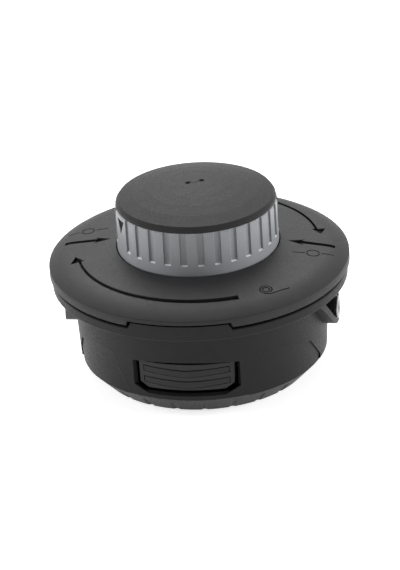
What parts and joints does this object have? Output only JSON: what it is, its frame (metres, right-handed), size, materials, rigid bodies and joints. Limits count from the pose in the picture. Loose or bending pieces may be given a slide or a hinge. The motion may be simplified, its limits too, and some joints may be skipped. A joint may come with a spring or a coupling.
{
  "type": "bump feed trimmer head",
  "caption": "Round bump feed trimmer head: a housing with flared line eyelets, a cover with release tabs, and a sprung spool with a ribbed bump knob.",
  "frame": {"origin": "centre of the ring that the head stands on, at the drive side", "axes": "+Z along the axis of rotation, from the drive side to the bump knob; X through the two line eyelets; Y through the two release tabs"},
  "size_m": [0.126, 0.126, 0.084],
  "materials": {
    "housing_plastic": "fine moulded grain, glass-filled nylon",
    "cover_plastic": "fine moulded grain, glass-filled nylon",
    "tab_plastic": "fine moulded grain, glass-filled nylon",
    "spool_plastic": "moulded nylon",
    "collar_plastic": "satin grey moulded nylon",
    "cap_plastic": "satin moulded nylon",
    "eyelet_metal": "bright rolled",
    "zinc_steel": "zinc plated",
    "spring_steel": "drawn spring wire"
  },
  "bodies": {
    "head": {"housing": "housing_plastic", "drive_nut": "zinc_steel", "nut_clip": "zinc_steel", "eyelet_right": "eyelet_metal", "eyelet_left": "eyelet_metal", "spring_seat": "zinc_steel", "feed_spring": "spring_steel", "cover": "cover_plastic"},
    "feed_carrier": {"thrust_washer": "zinc_steel"},
    "spool_and_knob": {"spool": "spool_plastic", "collar": "collar_plastic", "knob_screws": "zinc_steel", "wear_cap": "cap_plastic"},
    "front_tab": {"tab_front": "tab_plastic"},
    "rear_tab": {"tab_rear": "tab_plastic"}
  },
  "joints": [
    {"name": "bump", "type": "slide", "parent": "head", "child": "feed_carrier", "axis": [0, 0, -1], "range_m": [0, 0.005], "stiffness_N_per_m": 1500, "springref_m": -0.008, "deforming": ["feed_spring"]},
    {"name": "wind", "type": "hinge", "parent": "feed_carrier", "child": "spool_and_knob", "pos_m": [0, 0, 0.0266], "axis": [0, 0, -1], "continuous": true},
    {"name": "front_tab_press", "type": "hinge", "parent": "head", "child": "front_tab", "pos_m": [0, -0.0477, 0.0467], "axis": [1, 0, 0], "range_deg": [0, 4.5], "stiffness_Nm_per_rad": 6, "springref_deg": -1.72},
    {"name": "rear_tab_press", "type": "hinge", "parent": "head", "child": "rear_tab", "pos_m": [0, 0.0477, 0.0467], "axis": [-1, 0, 0], "range_deg": [0, 4.5], "stiffness_Nm_per_rad": 6, "springref_deg": -1.72}
  ]
}
